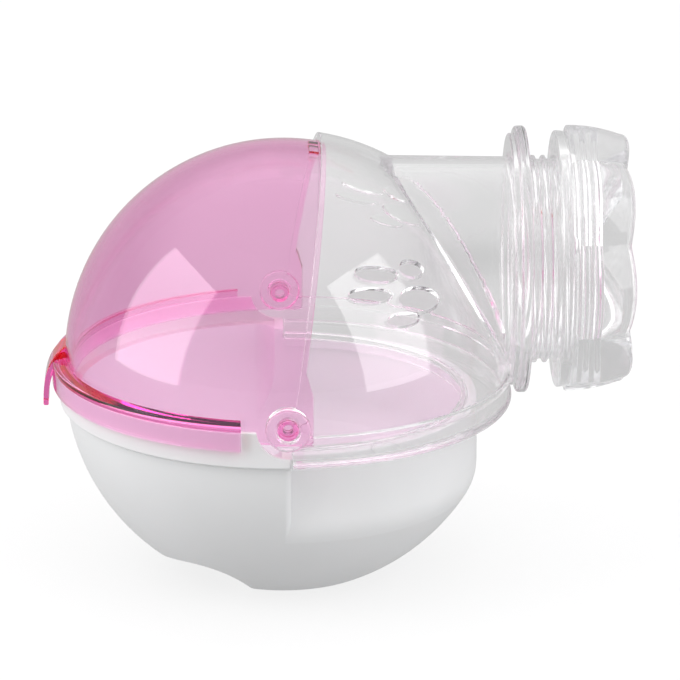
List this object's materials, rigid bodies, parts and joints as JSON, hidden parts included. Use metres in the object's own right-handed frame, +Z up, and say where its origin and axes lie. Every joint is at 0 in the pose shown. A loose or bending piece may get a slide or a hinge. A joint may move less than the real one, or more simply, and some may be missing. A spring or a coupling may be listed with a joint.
{
  "type": "cage-side sand bath pod",
  "caption": "Sand bath pod for a small pet's cage: white bowl, clear rear cover with entry tube, pink flip lid that swings back inside the cover, and a scalloped clamping nut.",
  "frame": {"origin": "on the floor, at the foot of the bowl, straight under the centre of the domes", "axes": "+X towards the cage along the entry tube, +Y along the lid's hinge axis, +Z up"},
  "size_m": [0.1545, 0.123, 0.1195],
  "materials": {
    "white_plastic": "semi-gloss moulded",
    "clear_plastic": "clear, polished",
    "pink_plastic": "tinted see-through, polished"
  },
  "bodies": {
    "bowl": {"sand_bowl": "white_plastic"},
    "cover": {"rear_cover": "clear_plastic"},
    "lid": {"flip_lid": "pink_plastic"},
    "nut": {"ring_nut": "clear_plastic"}
  },
  "joints": [
    {"name": "cover_lift", "type": "slide", "parent": "bowl", "child": "cover", "axis": [0, 0, 1], "range_m": [0, 0.06]},
    {"name": "lid_flip", "type": "hinge", "parent": "cover", "child": "lid", "pos_m": [0, 0, 0.05706], "axis": [0, 1, 0], "range_deg": [0, 85]},
    {"name": "nut_turn", "type": "hinge", "parent": "cover", "child": "nut", "pos_m": [0.0811, 0, 0.08346], "axis": [1, 0, 0], "continuous": true}
  ]
}
